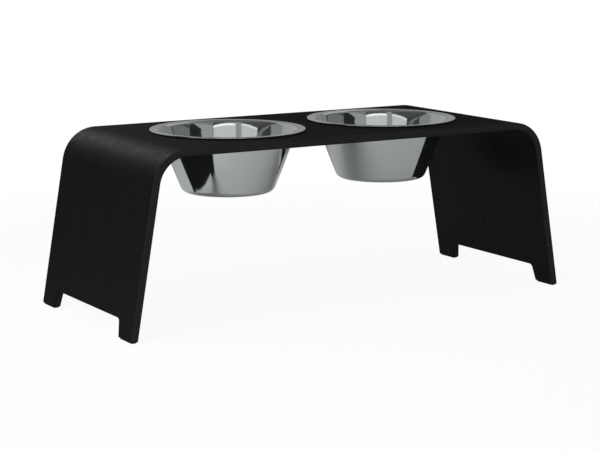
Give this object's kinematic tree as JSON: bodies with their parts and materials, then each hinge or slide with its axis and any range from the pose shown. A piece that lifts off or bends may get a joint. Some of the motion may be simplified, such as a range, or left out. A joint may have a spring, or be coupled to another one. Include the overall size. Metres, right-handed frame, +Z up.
{
  "type": "dog feeding station",
  "caption": "Raised dog feeding bench of bent black plywood with splayed, notched legs and lift-out stainless steel bowls hanging in round holes.",
  "frame": {"origin": "on the floor, under the middle of the stand", "axes": "+X along the board to the right, +Y to the back, +Z up"},
  "size_m": [0.6956, 0.28, 0.2479],
  "materials": {
    "black_stained_veneer": "black-stained wood veneer, satin lacquer, grain along the board",
    "black_stained_ply_edge": "black-stained cut edge of plywood, satin, with warm glue lines",
    "stainless_steel": "polished stainless steel",
    "black_silicone": "matt black silicone",
    "black_rubber": "matt black rubber"
  },
  "bodies": {
    "stand": {"outer_face_veneer": "black_stained_veneer", "plywood_core": "black_stained_ply_edge", "inner_face_veneer": "black_stained_veneer", "seat_ring_left": "black_silicone", "seat_ring_right": "black_silicone", "foot_pad_front_left": "black_rubber", "foot_pad_back_left": "black_rubber", "foot_pad_front_right": "black_rubber", "foot_pad_back_right": "black_rubber"},
    "left_bowl": {"bowl_left": "stainless_steel"},
    "right_bowl": {"bowl_right": "stainless_steel"}
  },
  "joints": [
    {"name": "left_bowl_lift", "type": "slide", "parent": "stand", "child": "left_bowl", "axis": [0, 0, 1], "range_m": [0, 0.12]},
    {"name": "right_bowl_lift", "type": "slide", "parent": "stand", "child": "right_bowl", "axis": [0, 0, 1], "range_m": [0, 0.12]}
  ]
}
